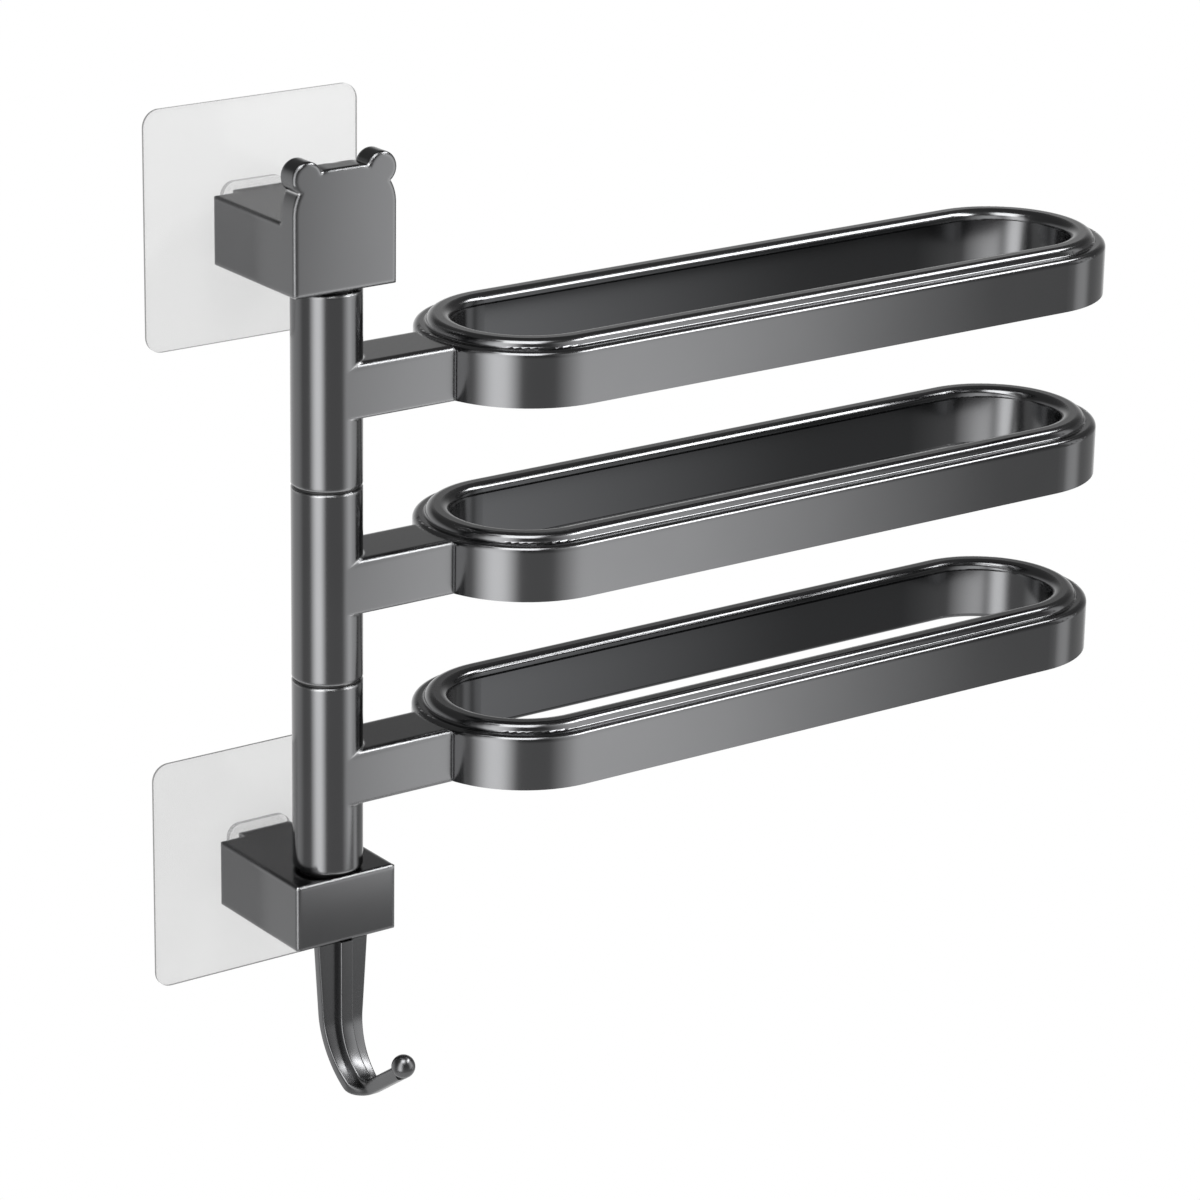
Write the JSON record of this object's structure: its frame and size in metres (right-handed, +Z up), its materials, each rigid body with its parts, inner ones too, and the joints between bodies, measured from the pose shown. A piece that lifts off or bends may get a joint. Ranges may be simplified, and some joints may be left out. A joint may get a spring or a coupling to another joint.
{
  "type": "swing arm towel bar",
  "caption": "Wall-hung towel bar whose long open rings swing on sleeves round one upright shaft between two brackets, with a ball-tipped hook below and clear adhesive sheets behind.",
  "frame": {"origin": "centre of the lower adhesive sheet's back face, on the wall", "axes": "+Z up the wall along the pivot shaft, +Y into the wall, +X to the right, the way the arms point at rest"},
  "size_m": [0.3111, 0.0835, 0.2837],
  "materials": {
    "gunmetal": "satin",
    "steel": "satin",
    "nylon": "matte",
    "clear_plastic": "gloss",
    "clear_sheet": "gloss"
  },
  "bodies": {
    "wall_mount": {"lower_adhesive_sheet": "clear_sheet", "upper_adhesive_sheet": "clear_sheet", "lower_hanger_clip": "clear_plastic", "upper_hanger_clip": "clear_plastic", "lower_bracket": "gunmetal", "upper_bracket": "gunmetal", "hook": "gunmetal", "pivot_shaft": "steel", "upper_shaft_screw": "steel", "lower_shaft_screw": "steel", "lower_end_washer": "nylon", "upper_end_washer": "nylon", "lower_seam_washer": "nylon", "upper_seam_washer": "nylon"},
    "lower_arm": {"lower_swing_arm": "gunmetal", "lower_towel_ring": "gunmetal", "lower_ring_screws": "steel", "lower_arm_bottom_bush": "nylon", "lower_arm_top_bush": "nylon"},
    "middle_arm": {"middle_swing_arm": "gunmetal", "middle_towel_ring": "gunmetal", "middle_ring_screws": "steel", "middle_arm_bottom_bush": "nylon", "middle_arm_top_bush": "nylon"},
    "upper_arm": {"upper_swing_arm": "gunmetal", "upper_towel_ring": "gunmetal", "upper_ring_screws": "steel", "upper_arm_bottom_bush": "nylon", "upper_arm_top_bush": "nylon"}
  },
  "joints": [
    {"name": "lower_arm_swing", "type": "hinge", "parent": "wall_mount", "child": "lower_arm", "pos_m": [0, -0.0397, 0.03945], "axis": [0, 0, 1], "range_deg": [-180, 0]},
    {"name": "middle_arm_swing", "type": "hinge", "parent": "wall_mount", "child": "middle_arm", "pos_m": [0, -0.0397, 0.09705], "axis": [0, 0, 1], "range_deg": [-180, 0]},
    {"name": "upper_arm_swing", "type": "hinge", "parent": "wall_mount", "child": "upper_arm", "pos_m": [0, -0.0397, 0.15465], "axis": [0, 0, 1], "range_deg": [-180, 0]}
  ]
}
